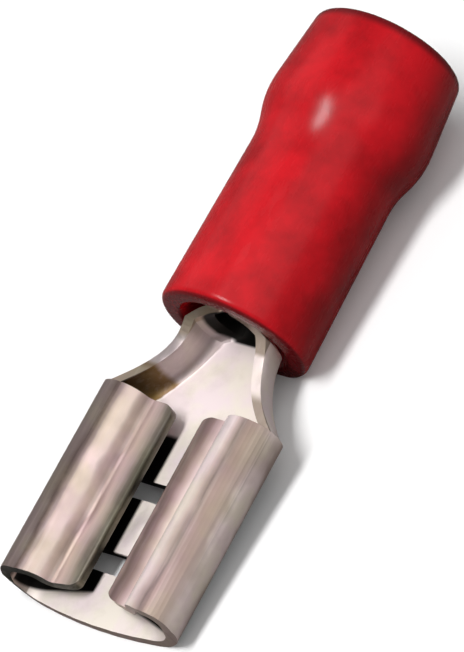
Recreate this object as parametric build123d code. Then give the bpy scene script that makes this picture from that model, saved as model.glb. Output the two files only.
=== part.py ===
from build123d import *
from math import cos, radians, sin, sqrt
import os

# Flat crimp terminal for a 6.3 x 0.8 mm tab. Millimetres.
# Origin on the barrel's axis at its wire mouth; +X leaves towards the wire,
# the tab enters from -X, +Z is the side the wings roll over on.

# Tab and wire that the terminal takes
tab_width = 6.3
tab_thickness = 0.8
wire_bore = 1.8

# Stamped sheet
sheet = 0.4
side_play = 0.15
grip = 0.2
seam = 0.12

# Receptacle with its two rolled wings
receptacle_length = 7.75
receptacle_height = 2.25
floor_bend = 1.2
roll_bend = 1.0
roll_turn = 70
lip_half_gap = 0.62
lip_edge_round = 0.12
lip_corner = 0.45
wing_setback = 0.45
lip_setback = 0.8
front_bow = 0.38

# Openings and raised strip in the floor
slot_width = 0.75
slot_length = 3.4
slot_spacing = 2.75
front_slot = 2.2
strip_rise = 0.12
dimple_radius = 0.45
dimple_height = 0.12

# Neck between receptacle and barrel
neck_length = 3.0
neck_setback = 0.03
neck_flare = 2.1
neck_mouth = 1.85
neck_wall_z = 0.36
neck_tightening = 0.38
mouth_bend = 1.0
side_turn = 20
shoulder_length = 0.4

# Crimp barrel
barrel_length = 7.05
groove_x = -3.0
groove_width = 0.3
groove_depth = 0.08
groove_pitch = 1.1
mouth_chamfer = 0.1

# Insulating sleeve
sleeve_front = 0.42
sleeve_length = 11.6
sleeve_front_radius = 2.76
sleeve_waist_radius = 2.64
sleeve_bell_radius = 3.02
sleeve_rim_radius = 2.74
bell_start = -0.72
bell_flare = 1.6
front_opening = 2.05
front_funnel = 1.5
entry_radius = 2.1
stop_overlap = 0.22
stop_length = 0.35
funnel_length = 0.8
rim_round = 0.25
opening_chamfer = 0.15

# Places that follow from the values above
barrel_radius = wire_bore / 2 + sheet
floor_z = -barrel_radius
floor_top = floor_z + sheet
top_z = floor_z + receptacle_height
half_width = tab_width / 2 + side_play + sheet
lip_z = floor_top + tab_thickness - grip
barrel_x = -barrel_length
mouth_x = barrel_x - shoulder_length
neck_x = mouth_x - neck_length
front_x = neck_x - receptacle_length
sleeve_x = barrel_x - sleeve_front
rim_x = sleeve_x + sleeve_length


def section_plane(x):
    """Plane across the axis: its first direction is +Y, its second +Z."""
    return Plane(origin=(x, 0, 0), x_dir=(0, 1, 0), z_dir=(1, 0, 0))


def on_circle(centre, radius, degrees):
    return (centre[0] + radius * cos(radians(degrees)), centre[1] + radius * sin(radians(degrees)))


# Receptacle: floor, side, roll, descent and level lip of one wing
def wing_section():
    low = (half_width - floor_bend, floor_z + floor_bend)
    high = (half_width - roll_bend, top_z - roll_bend)
    inner_low, inner_roll = floor_bend - sheet, roll_bend - sheet
    drop = top_z - sheet - lip_z
    under = drop / (1 - cos(radians(roll_turn))) - inner_roll
    turn = 90 + roll_turn
    pivot = on_circle(high, inner_roll + under, turn)
    lip_top = lip_z + sheet
    with BuildSketch(section_plane(front_x)) as section:
        with BuildLine():
            Line((0, floor_z), (low[0], floor_z))
            ThreePointArc((low[0], floor_z), on_circle(low, floor_bend, -45), (half_width, low[1]))
            Line((half_width, low[1]), (half_width, high[1]))
            ThreePointArc((half_width, high[1]), on_circle(high, roll_bend, turn / 2),
                          on_circle(high, roll_bend, turn))
            ThreePointArc(on_circle(high, roll_bend, turn),
                          on_circle(pivot, under - sheet, roll_turn / 2 - 90), (pivot[0], lip_top))
            Polyline((pivot[0], lip_top), (lip_half_gap, lip_top), (lip_half_gap, lip_z),
                     (pivot[0], lip_z))
            ThreePointArc((pivot[0], lip_z), on_circle(pivot, under, roll_turn / 2 - 90),
                          on_circle(high, inner_roll, turn))
            ThreePointArc(on_circle(high, inner_roll, turn), on_circle(high, inner_roll, turn / 2),
                          (half_width - sheet, high[1]))
            Line((half_width - sheet, high[1]), (half_width - sheet, low[1]))
            ThreePointArc((half_width - sheet, low[1]), on_circle(low, inner_low, -45),
                          (low[0], floor_top))
            Polyline((low[0], floor_top), (0, floor_top), (0, floor_z))
        make_face()
        lips = section.vertices().sort_by(Axis.X)[2:4]
        fillet(lips, lip_edge_round)
    return section.sketch


def side_outline_cut():
    """Everything ahead of the slanted front edge of a wing's outer side."""
    slant = ((front_x, floor_top), (front_x + 0.75 * wing_setback, floor_top + 0.8),
             (front_x + wing_setback, top_z + 0.1))
    with BuildSketch(Plane.XZ) as ahead:
        with BuildLine():
            Spline(*slant)
            Polyline(slant[-1], (front_x - 1, top_z + 0.1), (front_x - 1, floor_top), slant[0])
        make_face()
    return extrude(ahead.sketch, amount=half_width + 1, both=True)


def plan_outline():
    """The wing from above with its rounded lip corners, and the whole floor below it."""
    crest_y = half_width - roll_bend
    lip_x = front_x + lip_setback
    with BuildSketch(Plane.XY.offset(floor_top + 0.1)) as outline:
        with BuildLine():
            Polyline((lip_x, lip_half_gap), (front_x + wing_setback, crest_y), (front_x - 1, crest_y),
                     (front_x - 1, half_width + 1), (neck_x + 1, half_width + 1),
                     (neck_x + 1, crest_y), (neck_x, crest_y), (neck_x, lip_half_gap),
                     (lip_x, lip_half_gap))
        make_face()
        fillet(outline.vertices().sort_by(Axis.Y)[:2], lip_corner)
    floor = Box(receptacle_length + 2, half_width + 2, 1, align=(Align.MIN, Align.MIN, Align.MAX))
    return extrude(outline.sketch, amount=receptacle_height) + Pos(front_x - 1, -1, floor_top + 0.1) * floor


def receptacle():
    wing = extrude(wing_section(), amount=receptacle_length)
    wing = (wing - side_outline_cut()) & plan_outline()
    with BuildSketch(Plane.XY) as ahead:
        with BuildLine():
            ThreePointArc((front_x + front_bow, -half_width), (front_x, 0), (front_x + front_bow, half_width))
            Polyline((front_x + front_bow, half_width), (front_x - 1, half_width),
                     (front_x - 1, -half_width), (front_x + front_bow, -half_width))
        make_face()
    wing -= extrude(ahead.sketch, amount=receptacle_height, both=True)
    return wing + mirror(wing, about=Plane.XZ)


# Floor openings: two cross slots with a raised strip and its dimple between them
def slotted_floor(body):
    strip_length = slot_spacing - slot_width
    strip_x = front_x + front_slot + slot_spacing / 2
    window = Box(slot_spacing + slot_width, slot_length, 2 * sheet)
    body -= Pos(strip_x, 0, floor_z + sheet / 2) * window
    half = slot_length / 2
    with BuildSketch(section_plane(strip_x)) as strip:
        with BuildLine():
            ThreePointArc((-half, floor_z), (0, floor_z + strip_rise), (half, floor_z))
            Line((half, floor_z), (half, floor_top))
            ThreePointArc((half, floor_top), (0, floor_top + strip_rise), (-half, floor_top))
            Line((-half, floor_top), (-half, floor_z))
        make_face()
    body += extrude(strip.sketch, amount=strip_length / 2, both=True)
    ball = (dimple_radius ** 2 + dimple_height ** 2) / (2 * dimple_height)
    dish = Pos(strip_x, 0, floor_top + strip_rise + dimple_height - ball) * Sphere(ball)
    cap = dish & (Pos(strip_x, 0, floor_top + strip_rise) * Cylinder(dimple_radius + 0.1, 2 * sheet - 0.1))
    hollow = Pos(0, 0, -sheet) * dish
    hollow &= Pos(strip_x, 0, floor_z + strip_rise - sheet) * Cylinder(2 * dimple_radius, 3 * sheet)
    return body + cap - hollow


# Neck and barrel: one folded section that runs from the floor's width to the closed tube
def folded_outline(x, width, bend):
    """Closed outline across the strip at x: its floor, three tangent arcs up each side, open edges."""
    turn = radians(side_turn)
    side = (barrel_radius - bend * (1 - sin(turn))) / sin(turn)
    low = (width - bend * cos(turn) - side * (1 - cos(turn)), floor_z + bend)
    high = (low[0], -low[1])
    edge_y = max(low[0], seam / 2)
    faces = []
    for r, side_y in ((bend, width), (bend - sheet, width - sheet)):
        rise = sqrt(r ** 2 - (edge_y - low[0]) ** 2)
        foot, knee = (edge_y, low[1] - rise), on_circle(low, r, -side_turn)
        shoulder, tip = on_circle(high, r, side_turn), (edge_y, high[1] + rise)
        faces.append(((foot, on_circle(low, r, -45), knee), (knee, (side_y, 0), shoulder),
                      (shoulder, on_circle(high, r, 45), tip)))
    outer, inner = faces
    edges = []
    for sign in (-1, 1):
        edges += [ThreePointArc(*((x, sign * y, z) for y, z in arc)) for arc in outer + inner]
        edges.append(Line(*((x, sign * y, z) for y, z in (outer[-1][-1], inner[-1][-1]))))
    for foot_y, foot_z in (outer[0][0], inner[0][0]):
        edges.append(Line((x, -foot_y, foot_z), (x, foot_y, foot_z)))
    return Wire(edges)


def neck():
    stations = []
    spread = half_width - neck_setback - neck_mouth
    for u in (0, 0.12, 0.25, 0.4, 0.55, 0.7, 0.85, 1):
        width = neck_mouth + spread * (1 - u) ** neck_flare
        bend = floor_bend + (mouth_bend - floor_bend) * u - 4 * neck_tightening * u * (1 - u)
        stations.append(folded_outline(neck_x + u * neck_length, width, bend))
    tube_end = folded_outline(barrel_x, barrel_radius, barrel_radius)
    shell = Solid.make_loft(stations) + Solid.make_loft([stations[-1], tube_end], ruled=True)
    with BuildSketch(Plane.XZ) as above:
        with BuildLine():
            edge = Spline((neck_x - 0.5, neck_wall_z), (neck_x + 0.8, neck_wall_z),
                          (mouth_x - 0.3, neck_wall_z + 0.06),
                          (mouth_x + 0.4 * shoulder_length, neck_wall_z + 0.4),
                          (barrel_x, barrel_radius + 0.1))
            Polyline(edge @ 1, (neck_x - 0.5, barrel_radius + 0.1), edge @ 0)
        make_face()
    return shell - extrude(above.sketch, amount=half_width + 1, both=True)


def barrel():
    along = Rotation(0, 90, 0)
    tube = extrude(Face(folded_outline(0, barrel_radius, barrel_radius)), amount=barrel_length, dir=(-1, 0, 0))
    bore = wire_bore / 2
    for i in (-1, 0, 1):
        tube -= Pos(groove_x + i * groove_pitch, 0, 0) * along * Cylinder(bore + groove_depth, groove_width)
    tube -= Pos(-mouth_chamfer / 2, 0, 0) * along * Cone(bore, bore + mouth_chamfer, mouth_chamfer)
    return tube


def terminal():
    return slotted_floor(receptacle()) + neck() + barrel()


# Insulating sleeve: a turned profile with funnel mouths at both ends
def sleeve():
    bell_x = bell_start + bell_flare
    stop_radius = barrel_radius - stop_overlap
    with BuildSketch(Plane.XZ) as profile:
        with BuildLine():
            Polyline((sleeve_x, front_opening), (sleeve_x, sleeve_front_radius),
                     (bell_start, sleeve_waist_radius))
            middle = (bell_start + bell_flare / 2, (sleeve_waist_radius + sleeve_bell_radius) / 2)
            rise = TangentArc((bell_start, sleeve_waist_radius), middle, tangent=(1, 0))
            TangentArc(middle, (bell_x, sleeve_bell_radius), tangent=rise % 1)
            Polyline((bell_x, sleeve_bell_radius), (rim_x, sleeve_rim_radius), (rim_x, entry_radius),
                     (stop_length + funnel_length, entry_radius), (stop_length, stop_radius),
                     (0, stop_radius), (0, barrel_radius), (sleeve_x + front_funnel, barrel_radius),
                     (sleeve_x, front_opening))
        make_face()
        for end_x in (sleeve_x, rim_x):
            rim = profile.vertices().filter_by_position(Axis.X, end_x - 0.01, end_x + 0.01)
            opening, outside = rim.sort_by(Axis.Y)
            fillet(outside, rim_round)
            chamfer(opening, opening_chamfer)
    return revolve(profile.sketch, axis=Axis.X)


os.makedirs("parts", exist_ok=True)
export_step(terminal(), "parts/receptacle_terminal.step")
export_step(sleeve(), "parts/insulating_sleeve.step")
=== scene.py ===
from math import radians, sin, cos

import bmesh
import bpy
from mathutils import Matrix, Vector


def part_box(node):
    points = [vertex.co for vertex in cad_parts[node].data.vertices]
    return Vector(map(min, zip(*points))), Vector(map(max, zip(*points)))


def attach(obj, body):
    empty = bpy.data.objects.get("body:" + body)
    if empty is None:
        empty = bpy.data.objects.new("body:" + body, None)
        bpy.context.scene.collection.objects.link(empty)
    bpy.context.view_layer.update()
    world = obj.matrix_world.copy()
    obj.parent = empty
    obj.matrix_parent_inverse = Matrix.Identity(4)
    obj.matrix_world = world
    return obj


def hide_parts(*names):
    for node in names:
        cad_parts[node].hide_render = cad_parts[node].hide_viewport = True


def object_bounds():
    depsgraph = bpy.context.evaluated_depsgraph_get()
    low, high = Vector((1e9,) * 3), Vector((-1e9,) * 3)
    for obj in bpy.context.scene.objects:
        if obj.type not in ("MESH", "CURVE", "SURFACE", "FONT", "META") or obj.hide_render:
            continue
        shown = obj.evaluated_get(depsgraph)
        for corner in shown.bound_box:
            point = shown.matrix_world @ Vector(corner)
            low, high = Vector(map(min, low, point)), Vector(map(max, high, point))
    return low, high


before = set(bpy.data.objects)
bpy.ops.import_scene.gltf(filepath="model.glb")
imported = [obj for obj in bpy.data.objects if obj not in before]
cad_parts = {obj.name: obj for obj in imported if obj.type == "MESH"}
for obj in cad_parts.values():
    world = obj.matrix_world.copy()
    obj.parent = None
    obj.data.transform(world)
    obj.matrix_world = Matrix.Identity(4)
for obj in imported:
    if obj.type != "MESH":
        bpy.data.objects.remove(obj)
cad_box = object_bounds()


# Terminal: one strip of tin-plated brass, blanked, then folded into a slotted receptacle with two
# rolled wings, an open neck and a crimp barrel. The press leaves its cut edges slightly rounded.
mm = 0.001
terminal_edge_round = 0.045 * mm
terminal_edge_steps = 2
terminal_fold_limit = radians(32)
terminal_flat_limit = radians(0.4)
terminal_weld = 0.0005 * mm
sliver_weld = 0.0002 * mm


def folded_strip(name, node, weld, flat_limit):
    """A merged copy of the strip's solid, its flat faces whole, ready for rounded edges."""
    strip = bmesh.new()
    strip.from_mesh(node.data)
    bmesh.ops.remove_doubles(strip, verts=strip.verts, dist=weld)
    bmesh.ops.dissolve_limit(strip, angle_limit=flat_limit, verts=strip.verts, edges=strip.edges)
    mesh = bpy.data.meshes.new(name)
    strip.to_mesh(mesh)
    strip.free()
    piece = bpy.data.objects.new(name, mesh)
    bpy.context.scene.collection.objects.link(piece)
    return piece


def round_edges(piece, width, steps, limit, weld):
    """Rounds the cut edges sharper than the limit, shades the rest smooth and closes any sliver."""
    piece.data.shade_smooth()
    piece.data.set_sharp_from_angle(angle=limit)
    rounding = piece.modifiers.new("rounded edges", "BEVEL")
    rounding.width = width
    rounding.segments = steps
    rounding.limit_method = "ANGLE"
    rounding.angle_limit = limit
    rounding.harden_normals = True
    rounding.use_clamp_overlap = True
    closing = piece.modifiers.new("closed slivers", "WELD")
    closing.merge_threshold = weld


def add(tree, kind, sockets=None, **settings):
    """One node of a tree: its sockets take a number, a colour or another node's output."""
    node = tree.nodes.new(kind)
    for name, value in settings.items():
        setattr(node, name, value)
    for socket, value in (sockets or {}).items():
        if isinstance(value, bpy.types.NodeSocket):
            tree.links.new(value, node.inputs[socket])
        else:
            node.inputs[socket].default_value = value
    return node


def rub_marks():
    """Shader group: fine marks drawn out along X, as a height and as a mask of where they lie."""
    group = bpy.data.node_groups.new("rub_marks", "ShaderNodeTree")
    for name, default in (("Across", 9000.0), ("Along", 350.0), ("Share", 0.5)):
        socket = group.interface.new_socket(name, in_out="INPUT", socket_type="NodeSocketFloat")
        socket.default_value = default
    group.interface.new_socket("Height", in_out="OUTPUT", socket_type="NodeSocketFloat")
    group.interface.new_socket("Mask", in_out="OUTPUT", socket_type="NodeSocketFloat")
    source = group.nodes.new("NodeGroupInput").outputs
    place = add(group, "ShaderNodeTexCoord").outputs["Object"]
    pitch = add(group, "ShaderNodeCombineXYZ", {"X": source["Along"], "Y": source["Across"],
                                                "Z": source["Across"]})
    drawn = add(group, "ShaderNodeVectorMath", {0: place, 1: pitch.outputs[0]}, operation="MULTIPLY")
    grain = add(group, "ShaderNodeTexNoise", {"Vector": drawn.outputs[0], "Scale": 1.0, "Detail": 4.0,
                                              "Roughness": 0.6})
    where = add(group, "ShaderNodeMapRange", {"Value": grain.outputs["Fac"], "From Min": source["Share"],
                                              "From Max": 0.75})
    sink = group.nodes.new("NodeGroupOutput")
    group.links.new(grain.outputs["Fac"], sink.inputs["Height"])
    group.links.new(where.outputs["Result"], sink.inputs["Mask"])
    return group


marks = rub_marks()


# Painted light and shade on the plating. The wings' run across the strip: a place in mm (+ is the +Y wing)
# and a colour.
# These bands are painted reflections and shade: painted shade darkens the lips, the roll insides are painted
# bright, the outsides duller.
wing_painted_reflections = (
    (-3.70, (1.00, 0.90, 0.85)), (-3.56, (0.57, 0.47, 0.42)), (-3.40, (0.46, 0.36, 0.31)),
    (-3.10, (0.30, 0.22, 0.20)), (-2.88, (0.20, 0.15, 0.14)), (-2.62, (0.61, 0.49, 0.46)),
    (-2.35, (1.00, 0.90, 0.87)), (-2.00, (1.00, 0.95, 0.93)), (-1.62, (1.00, 0.86, 0.84)),
    (-1.38, (0.65, 0.50, 0.48)), (-1.12, (0.31, 0.22, 0.21)), (-0.85, (0.18, 0.13, 0.12)),
    (-0.60, (0.49, 0.38, 0.35)), (0.58, (0.07, 0.07, 0.05)), (0.88, (0.19, 0.17, 0.14)),
    (1.12, (0.46, 0.38, 0.35)), (1.38, (0.60, 0.48, 0.46)), (1.62, (0.32, 0.24, 0.23)),
    (1.90, (0.97, 0.82, 0.78)), (2.12, (0.66, 0.55, 0.50)), (2.38, (0.20, 0.16, 0.15)),
    (2.62, (0.12, 0.09, 0.08)), (2.90, (0.30, 0.25, 0.23)), (3.20, (0.42, 0.35, 0.32)),
    (3.50, (0.60, 0.50, 0.46)),
)
wing_tone_reach, wing_tone_sway = 3.7 * mm, 0.6 * mm
floor_tone = (0.91, 0.85, 0.83, 1)
wall_tone = (0.46, 0.42, 0.41, 1)
# Walls: painted shade at the foot, a painted shadow next to the wings and painted light on the -Y side.
foot_painted_shade = (0.35, 0.31, 0.30, 1)
wall_painted_shadow = (0.16, 0.10, 0.035, 1)
wall_painted_light = (0.98, 0.90, 0.87, 1)
cut_edge_tone = (0.38, 0.32, 0.26, 1)
# Painted shade for the wings' front cut edges; the floor's front edge keeps its own brown.
shadowed_cut_tone = (0.03, 0.032, 0.02, 1)
brown_cut_tone = (0.43, 0.34, 0.31, 1)
shaded_tone = (0.008, 0.007, 0.006, 1)
stain_tone = (0.42, 0.34, 0.27, 1)
rubbed_tone = (0.90, 0.86, 0.84, 1)
cream_tint, pink_tint = (1.0, 0.985, 0.90, 1), (1.0, 0.93, 0.96, 1)

# Places on the strip where its tone changes.
floor_rise, strip_rise = -0.895 * mm, -0.55 * mm
slot_edge_top = -0.94 * mm
low_bend_side, low_bend_top = 3.15 * mm, -0.72 * mm
foot_top, wall_top = -0.72 * mm, 0.30 * mm
wing_start, wing_end = -17.02 * mm, -10.45 * mm
front_slant = 0.26
front_cut_end = -17.0 * mm
# Where the painted shadow on the walls next to the wings begins.
wall_shadow_start = -9.4 * mm
lip_edge, lip_underside = 0.64 * mm, -0.12 * mm
roll_inner_side, roll_shade_end = 3.46 * mm, -11.25 * mm
mouth_start, mouth_end = -7.36 * mm, -7.05 * mm
mouth_reach, bore_reach = 1.50 * mm, 1.02 * mm


def step(tree, value, start, end):
    """0 before start, 1 after end, softly between them."""
    return add(tree, "ShaderNodeMapRange", {"Value": value, "From Min": start, "From Max": end},
               interpolation_type="SMOOTHSTEP").outputs["Result"]


def blended(tree, share, first, second):
    """First colour where the share is 0, second where it is 1."""
    return add(tree, "ShaderNodeMix", {0: share, 6: first, 7: second}, data_type="RGBA").outputs[2]


def combined(tree, operation, *values):
    """Several values put together by one operation, such as the place where all masks meet."""
    total = values[0]
    for value in values[1:]:
        total = add(tree, "ShaderNodeMath", {0: total, 1: value}, operation=operation).outputs[0]
    return total


def painted_reflections_across_wings(tree, across, clouds):
    """Painted reflections and shade: the wings' bands of light and dark, which sway a little with the clouds
    in the plating.
    """
    swayed = add(tree, "ShaderNodeMath", {0: clouds, 1: wing_tone_sway, 2: across},
                 operation="MULTIPLY_ADD").outputs[0]
    share = add(tree, "ShaderNodeMapRange", {"Value": swayed,
                                             "From Min": wing_tone_sway / 2 - wing_tone_reach,
                                             "From Max": wing_tone_sway / 2 + wing_tone_reach})
    bands = add(tree, "ShaderNodeValToRGB", {"Fac": share.outputs["Result"]})
    stops = bands.color_ramp.elements
    while len(stops) < len(wing_painted_reflections):
        stops.new(0.5)
    for stop, (y, colour) in zip(stops, wing_painted_reflections):
        stop.position = (y * mm + wing_tone_reach) / (2 * wing_tone_reach)
        stop.color = (*colour, 1)
    return bands.outputs["Color"]


def tones_of_walls(tree, along, across, up):
    """The neck's walls: painted shade at the foot, a painted shadow next to the wings, painted light on the
    -Y side.
    """
    wall = blended(tree, step(tree, up, foot_top + 0.17 * mm, foot_top), wall_tone, foot_painted_shade)
    wall = blended(tree, step(tree, along, wall_shadow_start + 0.25 * mm, wall_shadow_start), wall, wall_painted_shadow)
    wall = blended(tree, step(tree, across, 0.4 * mm, -0.4 * mm), wall, wall_painted_light)
    return blended(tree, step(tree, up, wall_top, wall_top + 0.06 * mm), wall, cut_edge_tone)


def floor_mask(tree, along, aside, up):
    """1 on the floor's upper face, on the strip raised between the lips, and as painted light in the low
    bends.
    """
    between_lips = combined(tree, "MULTIPLY", step(tree, aside, lip_edge + 0.08 * mm, lip_edge),
                            step(tree, up, strip_rise + 0.1 * mm, strip_rise))
    # Painted light: the low outer bends of the rolls take the floor's bright tone.
    painted_light_low_bend = combined(tree, "MULTIPLY", step(tree, aside, low_bend_side + 0.1 * mm, low_bend_side),
                        step(tree, up, low_bend_top + 0.04 * mm, low_bend_top),
                        step(tree, along, wing_end + 0.02 * mm, wing_end - 0.02 * mm))
    return combined(tree, "MAXIMUM", step(tree, up, floor_rise + 0.015 * mm, floor_rise), between_lips,
                    painted_light_low_bend)


def shade_mask(tree, along, across, aside, up, ahead):
    """1 in the barrel, inside the rolls and on the slots' front faces, where little light falls."""
    width = add(tree, "ShaderNodeMapRange", {"Value": along, "From Min": mouth_start, "From Max": mouth_end,
                                             "To Min": mouth_reach, "To Max": bore_reach}).outputs["Result"]
    spot = add(tree, "ShaderNodeCombineXYZ", {"Y": combined(tree, "DIVIDE", across, width),
                                              "Z": combined(tree, "DIVIDE", up, bore_reach)}).outputs[0]
    reach = add(tree, "ShaderNodeVectorMath", {0: spot}, operation="LENGTH").outputs["Value"]
    in_barrel = combined(tree, "MULTIPLY", step(tree, reach, 1.0, 0.94),
                         step(tree, along, mouth_start, mouth_start + 0.12 * mm))
    front = add(tree, "ShaderNodeMath", {0: aside, 1: front_slant, 2: along},
                operation="MULTIPLY_ADD").outputs[0]
    in_roll = combined(tree, "MULTIPLY", step(tree, aside, lip_edge, lip_edge + 0.1 * mm),
                       step(tree, aside, roll_inner_side, roll_inner_side - 0.06 * mm),
                       step(tree, up, lip_underside + 0.06 * mm, lip_underside),
                       step(tree, front, wing_start, wing_start + 0.14 * mm),
                       step(tree, along, roll_shade_end + 0.2 * mm, roll_shade_end))
    in_slot = combined(tree, "MULTIPLY", step(tree, ahead, -0.5, -0.75),
                       step(tree, up, slot_edge_top + 0.04 * mm, slot_edge_top),
                       step(tree, along, front_cut_end, front_cut_end + 0.1 * mm))
    return combined(tree, "MAXIMUM", in_barrel, in_roll, in_slot)


def two_tones(tree, share, first_place, first, second_place, second):
    """A ramp from a first colour to a second, each with its place on the share."""
    ramp = add(tree, "ShaderNodeValToRGB", {"Fac": share})
    for stop, place, colour in zip(ramp.color_ramp.elements, (first_place, second_place), (first, second)):
        stop.position, stop.color = place, colour
    return ramp.outputs["Color"]


def rubbed_with(tree, across, along, share):
    """The shared rub marks, placed in a material with its own pitch and share."""
    rubbed = add(tree, "ShaderNodeGroup", {}, node_tree=marks)
    for name, value in (("Across", across), ("Along", along), ("Share", share)):
        rubbed.inputs[name].default_value = value
    return rubbed.outputs


def tin_plating():
    """Tin over brass: bright floor, painted reflections, light and shade on wings and walls, dark cut edges,
    painted shade in rolls and barrel.
    """
    plating = bpy.data.materials.new("tin_plating")
    plating.use_nodes = True
    tree = plating.node_tree
    metal = tree.nodes["Principled BSDF"]
    texture = add(tree, "ShaderNodeTexCoord").outputs
    place = texture["Object"]
    along, across, up = add(tree, "ShaderNodeSeparateXYZ", {0: place}).outputs
    ahead = add(tree, "ShaderNodeSeparateXYZ", {0: texture["Normal"]}).outputs["X"]
    aside = combined(tree, "MAXIMUM", across, combined(tree, "MULTIPLY", across, -1.0))
    clouds = add(tree, "ShaderNodeTexNoise", {"Vector": place, "Scale": 420.0, "Detail": 3.0}).outputs["Fac"]
    on_floor = floor_mask(tree, along, aside, up)
    shaded = shade_mask(tree, along, across, aside, up, ahead)

    # Painted reflections and shade across the wings; the walls' painted light and shade behind them.
    tone = blended(tree, step(tree, along, wing_end - 0.02 * mm, wing_end + 0.02 * mm),
                   painted_reflections_across_wings(tree, across, clouds), tones_of_walls(tree, along, across, up))
    tone = blended(tree, on_floor, tone, floor_tone)
    # Painted shade: the +Y wing's front cut edge is near black, the other front cut edges are brown.
    front_cut = combined(tree, "MULTIPLY", step(tree, ahead, -0.5, -0.75),
                         step(tree, along, front_cut_end, front_cut_end - 0.05 * mm))
    shadowed_wing_front = combined(tree, "MULTIPLY", step(tree, across, -0.5 * mm, 0.5 * mm),
                         step(tree, up, -0.85 * mm, -0.75 * mm))
    tone = blended(tree, front_cut, tone, blended(tree, shadowed_wing_front, brown_cut_tone, shadowed_cut_tone))
    stains = add(tree, "ShaderNodeTexNoise", {"Vector": place, "Scale": 900.0, "Detail": 4.0,
                                              "Roughness": 0.65}).outputs["Fac"]
    dull = add(tree, "ShaderNodeMapRange", {"Value": stains, "From Min": 0.5, "From Max": 0.75,
                                            "To Max": 0.2}).outputs["Result"]
    tone = blended(tree, dull, tone, stain_tone)
    rubbed = rubbed_with(tree, across=4200.0, along=240.0, share=0.5)
    tone = blended(tree, combined(tree, "MULTIPLY", rubbed["Mask"], 0.12), tone, rubbed_tone)
    hue = add(tree, "ShaderNodeTexNoise", {"Vector": place, "Scale": 800.0, "Detail": 3.0}).outputs["Fac"]
    tint = two_tones(tree, hue, 0.38, cream_tint, 0.62, pink_tint)
    tone = add(tree, "ShaderNodeMix", {0: 1.0, 6: tone, 7: tint}, data_type="RGBA",
               blend_type="MULTIPLY").outputs[2]
    tree.links.new(blended(tree, shaded, tone, shaded_tone), metal.inputs["Base Color"])

    matt = combined(tree, "MAXIMUM", on_floor, step(tree, across, -1.7 * mm, -2.0 * mm))
    matt = combined(tree, "MULTIPLY", combined(tree, "SUBTRACT", matt, shaded), 0.6)
    bright_wall = combined(tree, "MULTIPLY", step(tree, across, -0.9 * mm, -1.3 * mm),
                           step(tree, along, wing_end, wing_end + 0.02 * mm),
                           step(tree, up, -0.80 * mm, -0.70 * mm))
    matt = combined(tree, "MAXIMUM", matt, bright_wall)
    shine = add(tree, "ShaderNodeMapRange", {"Value": matt, "To Min": 0.92, "To Max": 0.22})
    tree.links.new(shine.outputs["Result"], metal.inputs["Metallic"])
    dulled = add(tree, "ShaderNodeMapRange", {"Value": clouds, "From Min": 0.3, "From Max": 0.7,
                                              "To Min": 0.48, "To Max": 0.40}).outputs["Result"]
    stretched = combined(tree, "MULTIPLY", step(tree, up, -0.3 * mm, -0.7 * mm), 0.15)
    tree.links.new(combined(tree, "ADD", dulled, stretched), metal.inputs["Roughness"])
    relief = add(tree, "ShaderNodeBump", {"Height": rubbed["Height"], "Strength": 0.15,
                                          "Distance": 0.01 * mm})
    tree.links.new(relief.outputs["Normal"], metal.inputs["Normal"])
    return plating


terminal = folded_strip("folded_terminal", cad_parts["receptacle_terminal"], terminal_weld,
                        terminal_flat_limit)
round_edges(terminal, terminal_edge_round, terminal_edge_steps, terminal_fold_limit, sliver_weld)
terminal.data.materials.append(tin_plating())
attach(terminal, "root")
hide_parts("receptacle_terminal")


# Insulating sleeve: one moulding of red, half-gloss plastic with a bell for the wire's insulation.
# It is pushed over the barrel from the wire end and grips it along its bore.
sleeve_low, sleeve_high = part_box("insulating_sleeve")
sleeve_front, sleeve_rim = sleeve_low.x, sleeve_high.x
front_radius = 2.76 * mm
waist_radius = 2.64 * mm
bell_radius = sleeve_high.z
bell_corner_radius = bell_radius + 0.056 * mm
rim_radius = 2.74 * mm
bell_foot, bell_top = -0.52 * mm, 0.74 * mm
bell_sweep = 3.3 * mm
front_opening = 2.05 * mm
barrel_seat = 1.3 * mm
seat_start = sleeve_front + 1.5 * mm
stop_radius = 1.08 * mm
stop_end = 0.35 * mm
entry_start = 1.15 * mm
entry_radius = 2.1 * mm
rim_round = 0.25 * mm
opening_round = 0.15 * mm
crease_round = 0.05 * mm
steps_around, steps_in_a_corner = 160, 6
deep_red, bright_red = (0.36, 0.004, 0.008, 1), (0.61, 0.007, 0.014, 1)
# Painted shade for the sleeve's front face, its rim band and its low -Y side.
painted_shade_red = (0.16, 0.004, 0.007, 1)
front_band, rim_band = 0.04 * mm, 0.48 * mm
shade_side_start = -1.7 * mm


def sleeve_profile():
    """Half of the sleeve's section as a closed line; each corner's point radius is its rounding."""
    corners = (
        (sleeve_front, front_radius, rim_round), (bell_foot, waist_radius, bell_sweep),
        (bell_top, bell_corner_radius, bell_sweep), (sleeve_rim, rim_radius, rim_round),
        (sleeve_rim, entry_radius, opening_round), (entry_start, entry_radius, crease_round),
        (stop_end, stop_radius, crease_round), (0, stop_radius, crease_round),
        (0, barrel_seat, crease_round), (seat_start, barrel_seat, opening_round),
        (sleeve_front, front_opening, opening_round),
    )
    curve = bpy.data.curves.new("sleeve_profile", "CURVE")
    curve.dimensions = "3D"
    line = curve.splines.new("POLY")
    line.points.add(len(corners) - 1)
    for point, (x, radius, rounding) in zip(line.points, corners):
        point.co = (x, radius, 0, 1)
        point.radius = rounding
    line.use_cyclic_u = True
    profile = bpy.data.objects.new("sleeve_profile", curve)
    bpy.context.scene.collection.objects.link(profile)
    return profile


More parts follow.
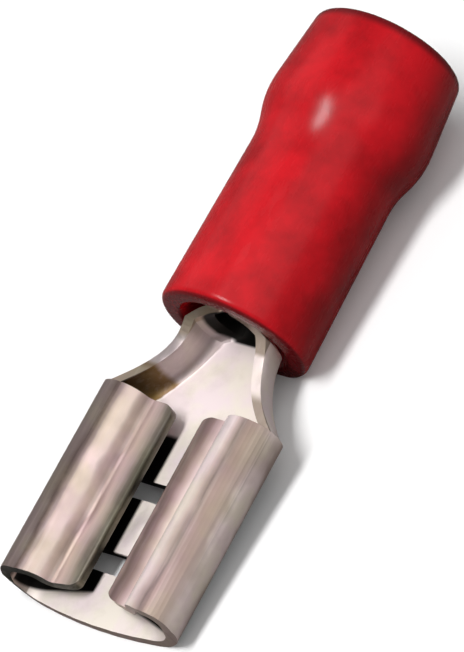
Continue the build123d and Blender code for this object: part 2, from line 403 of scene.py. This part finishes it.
def turned_moulding():
    """Geometry Nodes: rounds a profile's corners and turns it about X into a closed wall."""
    tree = bpy.data.node_groups.new("turned_moulding", "GeometryNodeTree")
    face = tree.interface
    face.new_socket("Profile", in_out="INPUT", socket_type="NodeSocketGeometry")
    face.new_socket("Steps Around", in_out="INPUT", socket_type="NodeSocketInt")
    face.new_socket("Steps In A Corner", in_out="INPUT", socket_type="NodeSocketInt")
    face.new_socket("Finish", in_out="INPUT", socket_type="NodeSocketMaterial")
    face.new_socket("Moulding", in_out="OUTPUT", socket_type="NodeSocketGeometry")
    source = tree.nodes.new("NodeGroupInput").outputs
    rounding = add(tree, "GeometryNodeInputRadius").outputs[0]
    rounded = add(tree, "GeometryNodeFilletCurve",
                  {"Curve": source["Profile"], "Count": source["Steps In A Corner"],
                   "Radius": rounding, "Limit Radius": True}, mode="POLY").outputs[0]
    count = add(tree, "GeometryNodeAttributeDomainSize", {0: rounded}, component="CURVE").outputs[0]
    rows = add(tree, "ShaderNodeMath", {0: source["Steps Around"], 1: 1.0}, operation="ADD").outputs[0]
    columns = add(tree, "ShaderNodeMath", {0: count, 1: 1.0}, operation="ADD").outputs[0]
    grid = add(tree, "GeometryNodeMeshGrid", {"Vertices X": rows, "Vertices Y": columns}).outputs[0]
    index = add(tree, "GeometryNodeInputIndex").outputs[0]
    row = add(tree, "ShaderNodeMath", {0: index, 1: columns}, operation="DIVIDE").outputs[0]
    row = add(tree, "ShaderNodeMath", {0: row}, operation="FLOOR").outputs[0]
    column = add(tree, "ShaderNodeMath", {0: index, 1: columns}, operation="MODULO").outputs[0]
    column = add(tree, "ShaderNodeMath", {0: column, 1: count}, operation="MODULO").outputs[0]
    position = add(tree, "GeometryNodeInputPosition").outputs[0]
    on_line = add(tree, "GeometryNodeSampleIndex", {"Geometry": rounded, "Value": position,
                                                    "Index": column}, data_type="FLOAT_VECTOR",
                  domain="POINT").outputs[0]
    turn = add(tree, "ShaderNodeMath", {0: row, 1: source["Steps Around"]}, operation="DIVIDE").outputs[0]
    turn = add(tree, "ShaderNodeMath", {0: turn, 1: radians(360)}, operation="MULTIPLY").outputs[0]
    turned = add(tree, "ShaderNodeVectorRotate", {"Vector": on_line, "Angle": turn},
                 rotation_type="X_AXIS").outputs[0]
    wall = add(tree, "GeometryNodeSetPosition", {"Geometry": grid, "Position": turned}).outputs[0]
    closed = add(tree, "GeometryNodeMergeByDistance", {"Geometry": wall, "Distance": 0.0001 * mm})
    smooth = add(tree, "GeometryNodeSetShadeSmooth", {"Geometry": closed.outputs[0]}).outputs[0]
    real = add(tree, "GeometryNodeRealizeInstances", {"Geometry": smooth}).outputs[0]
    dressed = add(tree, "GeometryNodeSetMaterial", {"Geometry": real, "Material": source["Finish"]})
    sink = tree.nodes.new("NodeGroupOutput")
    tree.links.new(dressed.outputs[0], sink.inputs["Moulding"])
    return tree


def grown(name, start, tree, values):
    """The plain mesh that a Geometry Nodes tree makes of a starting object, which goes."""
    modifier = start.modifiers.new("growth", "NODES")
    modifier.node_group = tree
    for item in tree.interface.items_tree:
        if item.name in values:
            modifier[item.identifier] = values[item.name]
    evaluated = start.evaluated_get(bpy.context.evaluated_depsgraph_get())
    mesh = bpy.data.meshes.new_from_object(evaluated)
    bpy.data.objects.remove(start)
    piece = bpy.data.objects.new(name, mesh)
    mesh.name = name
    bpy.context.scene.collection.objects.link(piece)
    return piece


def red_plastic():
    """Moulded plastic: a saturated red with cloudy depth, a soft gloss, faint handling marks and painted
    shade at the ends and low -Y side.
    """
    plastic = bpy.data.materials.new("red_plastic")
    plastic.use_nodes = True
    tree = plastic.node_tree
    skin = tree.nodes["Principled BSDF"]
    skin.inputs["Specular IOR Level"].default_value = 0.21
    place = add(tree, "ShaderNodeTexCoord").outputs["Object"]
    clouds = add(tree, "ShaderNodeTexNoise", {"Vector": place, "Scale": 420.0, "Detail": 5.0,
                                              "Roughness": 0.62})
    tone = two_tones(tree, clouds.outputs["Fac"], 0.34, deep_red, 0.62, bright_red)
    along, across, up = add(tree, "ShaderNodeSeparateXYZ", {0: place}).outputs
    # Painted shade at the front face and the rim band, and along the low -Y side.
    shaded_ends = combined(tree, "MAXIMUM",
                    step(tree, along, sleeve_front + front_band + 0.08 * mm, sleeve_front + front_band),
                    step(tree, along, sleeve_rim - rim_band, sleeve_rim - rim_band + 0.30 * mm))
    shaded_low_side = combined(tree, "MULTIPLY", step(tree, across, shade_side_start, shade_side_start - 1.2 * mm),
                        step(tree, up, 1.2 * mm, -0.6 * mm), 0.45)
    tone = blended(tree, combined(tree, "MAXIMUM", shaded_ends, shaded_low_side), tone, painted_shade_red)
    tree.links.new(tone, skin.inputs["Base Color"])
    rubbed = rubbed_with(tree, across=3000.0, along=900.0, share=0.52)
    gloss = add(tree, "ShaderNodeMapRange", {"Value": rubbed["Mask"], "To Min": 0.26, "To Max": 0.36})
    tree.links.new(gloss.outputs["Result"], skin.inputs["Roughness"])
    relief = add(tree, "ShaderNodeBump", {"Height": rubbed["Height"], "Strength": 0.06,
                                          "Distance": 0.01 * mm})
    tree.links.new(relief.outputs["Normal"], skin.inputs["Normal"])
    return plastic


sleeve = grown("moulded_sleeve", sleeve_profile(), turned_moulding(),
               {"Steps Around": steps_around, "Steps In A Corner": steps_in_a_corner,
                "Finish": red_plastic()})
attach(sleeve, "root")
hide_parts("insulating_sleeve")


# Table: a plain pale board, wide enough to fill every view. It leans so that the sleeve's bell
# and the receptacle's front edge both rest on it.
terminal_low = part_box("receptacle_terminal")[0]
board_size = 900 * mm
board_seen_tone = (0.97, 0.97, 0.97, 1)
board_thrown_tone = (0.20, 0.19, 0.185, 1)
board_glow = (0.02, 0.02, 0.02, 1)
bell_foot_point = Vector((bell_top, 0, -bell_radius))
front_edge_point = Vector((terminal_low.x, 0, terminal_low.z))


def pale_board():
    """The board's finish: near white to the eye, with less light thrown back on the object."""
    paint = bpy.data.materials.new("pale_board")
    paint.use_nodes = True
    tree = paint.node_tree
    skin = tree.nodes["Principled BSDF"]
    skin.inputs["Roughness"].default_value = 0.9
    skin.inputs["Specular IOR Level"].default_value = 0.1
    ray = add(tree, "ShaderNodeLightPath").outputs["Is Camera Ray"]
    shade = blended(tree, ray, board_thrown_tone, board_seen_tone)
    tree.links.new(shade, skin.inputs["Base Color"])
    glow = blended(tree, ray, (0, 0, 0, 1), board_glow)
    tree.links.new(glow, skin.inputs["Emission Color"])
    skin.inputs["Emission Strength"].default_value = 1
    return paint


def board():
    """A flat sheet through the two lines that the part rests on."""
    along = (bell_foot_point - front_edge_point).normalized()
    across = Vector((0, 1, 0))
    middle = (bell_foot_point + front_edge_point) / 2
    mesh = bpy.data.meshes.new("board")
    corners = [middle + board_size / 2 * (i * along + j * across)
               for i, j in ((-1, -1), (1, -1), (1, 1), (-1, 1))]
    mesh.from_pydata(corners, [], [(0, 1, 2, 3)])
    mesh.materials.append(pale_board())
    piece = bpy.data.objects.new("board", mesh)
    bpy.context.scene.collection.objects.link(piece)


board()


# Light: soft boxes in a dim, even room. A narrow one overhead draws the glint on the sleeve's bell,
# and two wide ones, in front and behind, fill in the sides.
def softbox(name, azimuth, elevation, distance, width, length, power):
    """A soft light that looks at the object; azimuth 0 is on its -Y side, 90 on +X."""
    a, e = radians(azimuth), radians(elevation)
    aim = Vector((sin(a) * cos(e), -cos(a) * cos(e), sin(e)))
    centre = (cad_box[0] + cad_box[1]) / 2
    lamp = bpy.data.lights.new(name, "AREA")
    lamp.shape = "ELLIPSE"
    lamp.size = width
    lamp.size_y = length
    lamp.energy = power
    box = bpy.data.objects.new(name, lamp)
    box.location = centre + aim * distance
    box.rotation_mode = "QUATERNION"
    box.rotation_quaternion = aim.to_track_quat("Z", "Y")
    box.visible_camera = False
    bpy.context.scene.collection.objects.link(box)


softbox("key", -80, 79, 160 * mm, 30 * mm, 94 * mm, 0.20)
softbox("front", 17, 50, 160 * mm, 170 * mm, 170 * mm, 0.062)
softbox("back", 158, 44, 160 * mm, 140 * mm, 140 * mm, 0.026)

room = bpy.data.worlds.new("room")
room.use_nodes = True
room.node_tree.nodes["Background"].inputs["Color"].default_value = (1, 1, 1, 1)
room.node_tree.nodes["Background"].inputs["Strength"].default_value = 0.25
bpy.context.scene.world = room
bpy.context.scene.view_settings.view_transform = "Standard"


# Camera: a long lens above the part's near side, turned so that the part lies across the
# picture's diagonal.
camera_azimuth = radians(-25.538)
camera_elevation = radians(47.590)
camera_roll = radians(-41.731)
camera_distance = 130.408 * mm
camera_aim = Vector((-6.891, 0.701, -0.560)) * mm
camera_lens = 214.27

away = Vector((sin(camera_azimuth) * cos(camera_elevation), -cos(camera_azimuth) * cos(camera_elevation),
               sin(camera_elevation)))
level = Vector((0, 0, 1)).cross(away).normalized()
upright = away.cross(level)
right = cos(camera_roll) * level + sin(camera_roll) * upright
over = away.cross(right)
camera_data = bpy.data.cameras.new("camera")
camera_data.lens = camera_lens
camera_data.sensor_width = 36
camera_data.clip_start = 1 * mm
camera = bpy.data.objects.new("camera", camera_data)
camera.matrix_world = Matrix((right, over, away)).transposed().to_4x4()
camera.location = camera_aim + away * camera_distance
bpy.context.scene.collection.objects.link(camera)
bpy.context.scene.camera = camera
